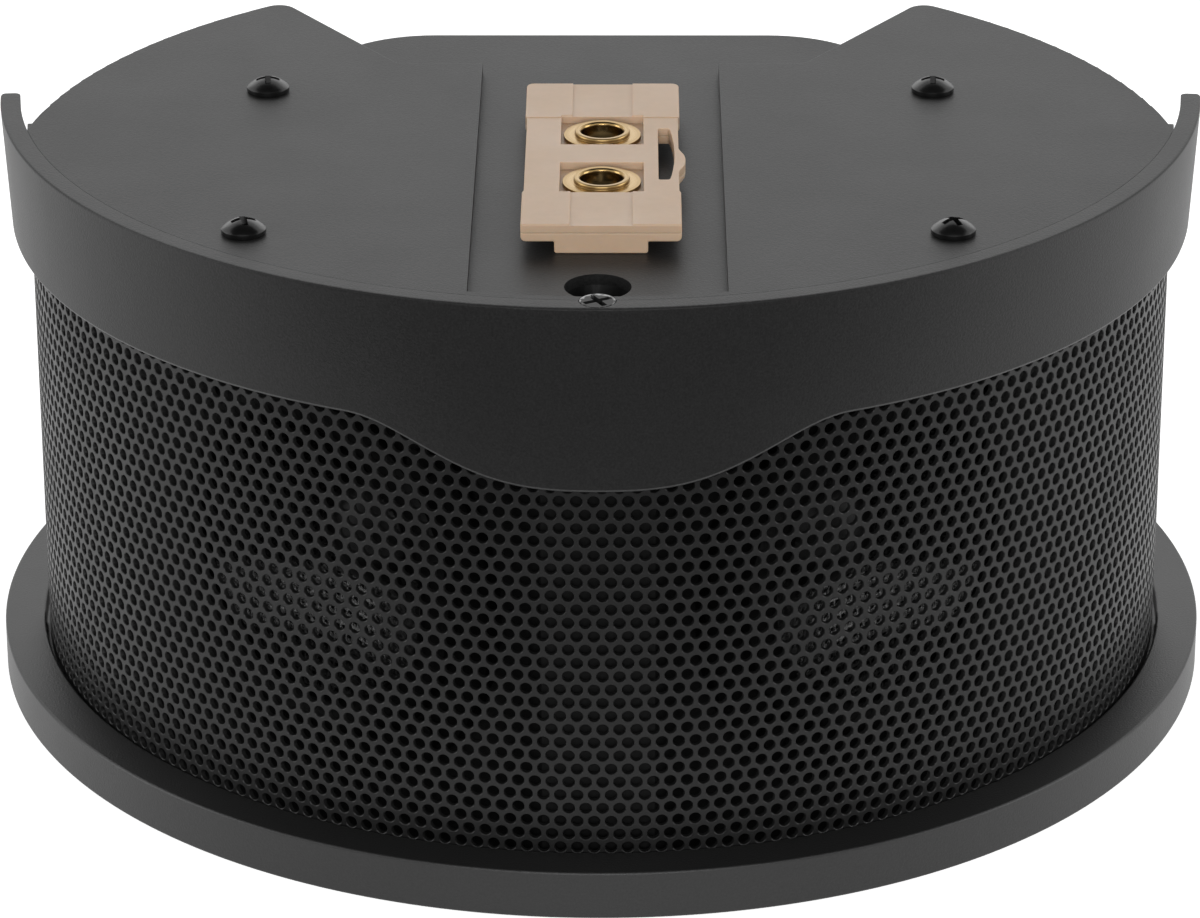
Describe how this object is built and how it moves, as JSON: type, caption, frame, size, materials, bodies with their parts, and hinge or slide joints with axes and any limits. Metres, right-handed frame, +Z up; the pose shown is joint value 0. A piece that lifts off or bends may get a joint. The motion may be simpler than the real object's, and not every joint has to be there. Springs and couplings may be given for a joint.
{
  "type": "conference speaker",
  "caption": "Half-round tabletop conference speaker: curved perforated grille, front band with a bell-shaped apron, round base, and a top plate with a rail channel and contact block.",
  "frame": {"origin": "centre of the base disc's underside", "axes": "+Z up, -Y towards the grille at the front, +X to the right as seen from the front"},
  "size_m": [0.232, 0.232, 0.1189],
  "materials": {
    "coated_aluminium": "fine satin powder coat",
    "coated_grille": "satin powder coat",
    "black_plastic": "fine moulded texture",
    "beige_plastic": "smooth satin",
    "brass": "polished",
    "black_steel": "gloss black oxide",
    "zinc_steel": "bright zinc",
    "ferrite": "dull sintered",
    "rubber": "matt",
    "coated_paper": "matt pressed paper",
    "resin_cloth": "woven, stiffened",
    "copper_winding": "enamelled copper"
  },
  "bodies": {
    "root": {"base_disc": "coated_aluminium", "cabinet": "black_plastic", "grille": "coated_grille", "front_band": "coated_aluminium", "top_plate": "coated_aluminium", "contact_base": "beige_plastic", "contact_cover": "beige_plastic", "rear_socket": "brass", "front_socket": "brass", "socket_screws": "zinc_steel", "socket_lugs": "brass", "socket_nuts": "zinc_steel", "top_plate_screws": "black_steel", "seam_screw": "zinc_steel", "base_screws": "zinc_steel", "driver_screws": "black_steel", "left_gasket": "rubber", "left_frame": "black_steel", "left_surround": "rubber", "left_cone": "coated_paper", "left_dust_cap": "coated_paper", "left_voice_coil": "copper_winding", "left_spider": "resin_cloth", "left_top_yoke": "zinc_steel", "left_magnet": "ferrite", "left_back_yoke": "zinc_steel", "left_terminals": "black_plastic", "left_leads": "rubber", "right_gasket": "rubber", "right_frame": "black_steel", "right_surround": "rubber", "right_cone": "coated_paper", "right_dust_cap": "coated_paper", "right_voice_coil": "copper_winding", "right_spider": "resin_cloth", "right_top_yoke": "zinc_steel", "right_magnet": "ferrite", "right_back_yoke": "zinc_steel", "right_terminals": "black_plastic", "right_leads": "rubber"}
  },
  "joints": []
}
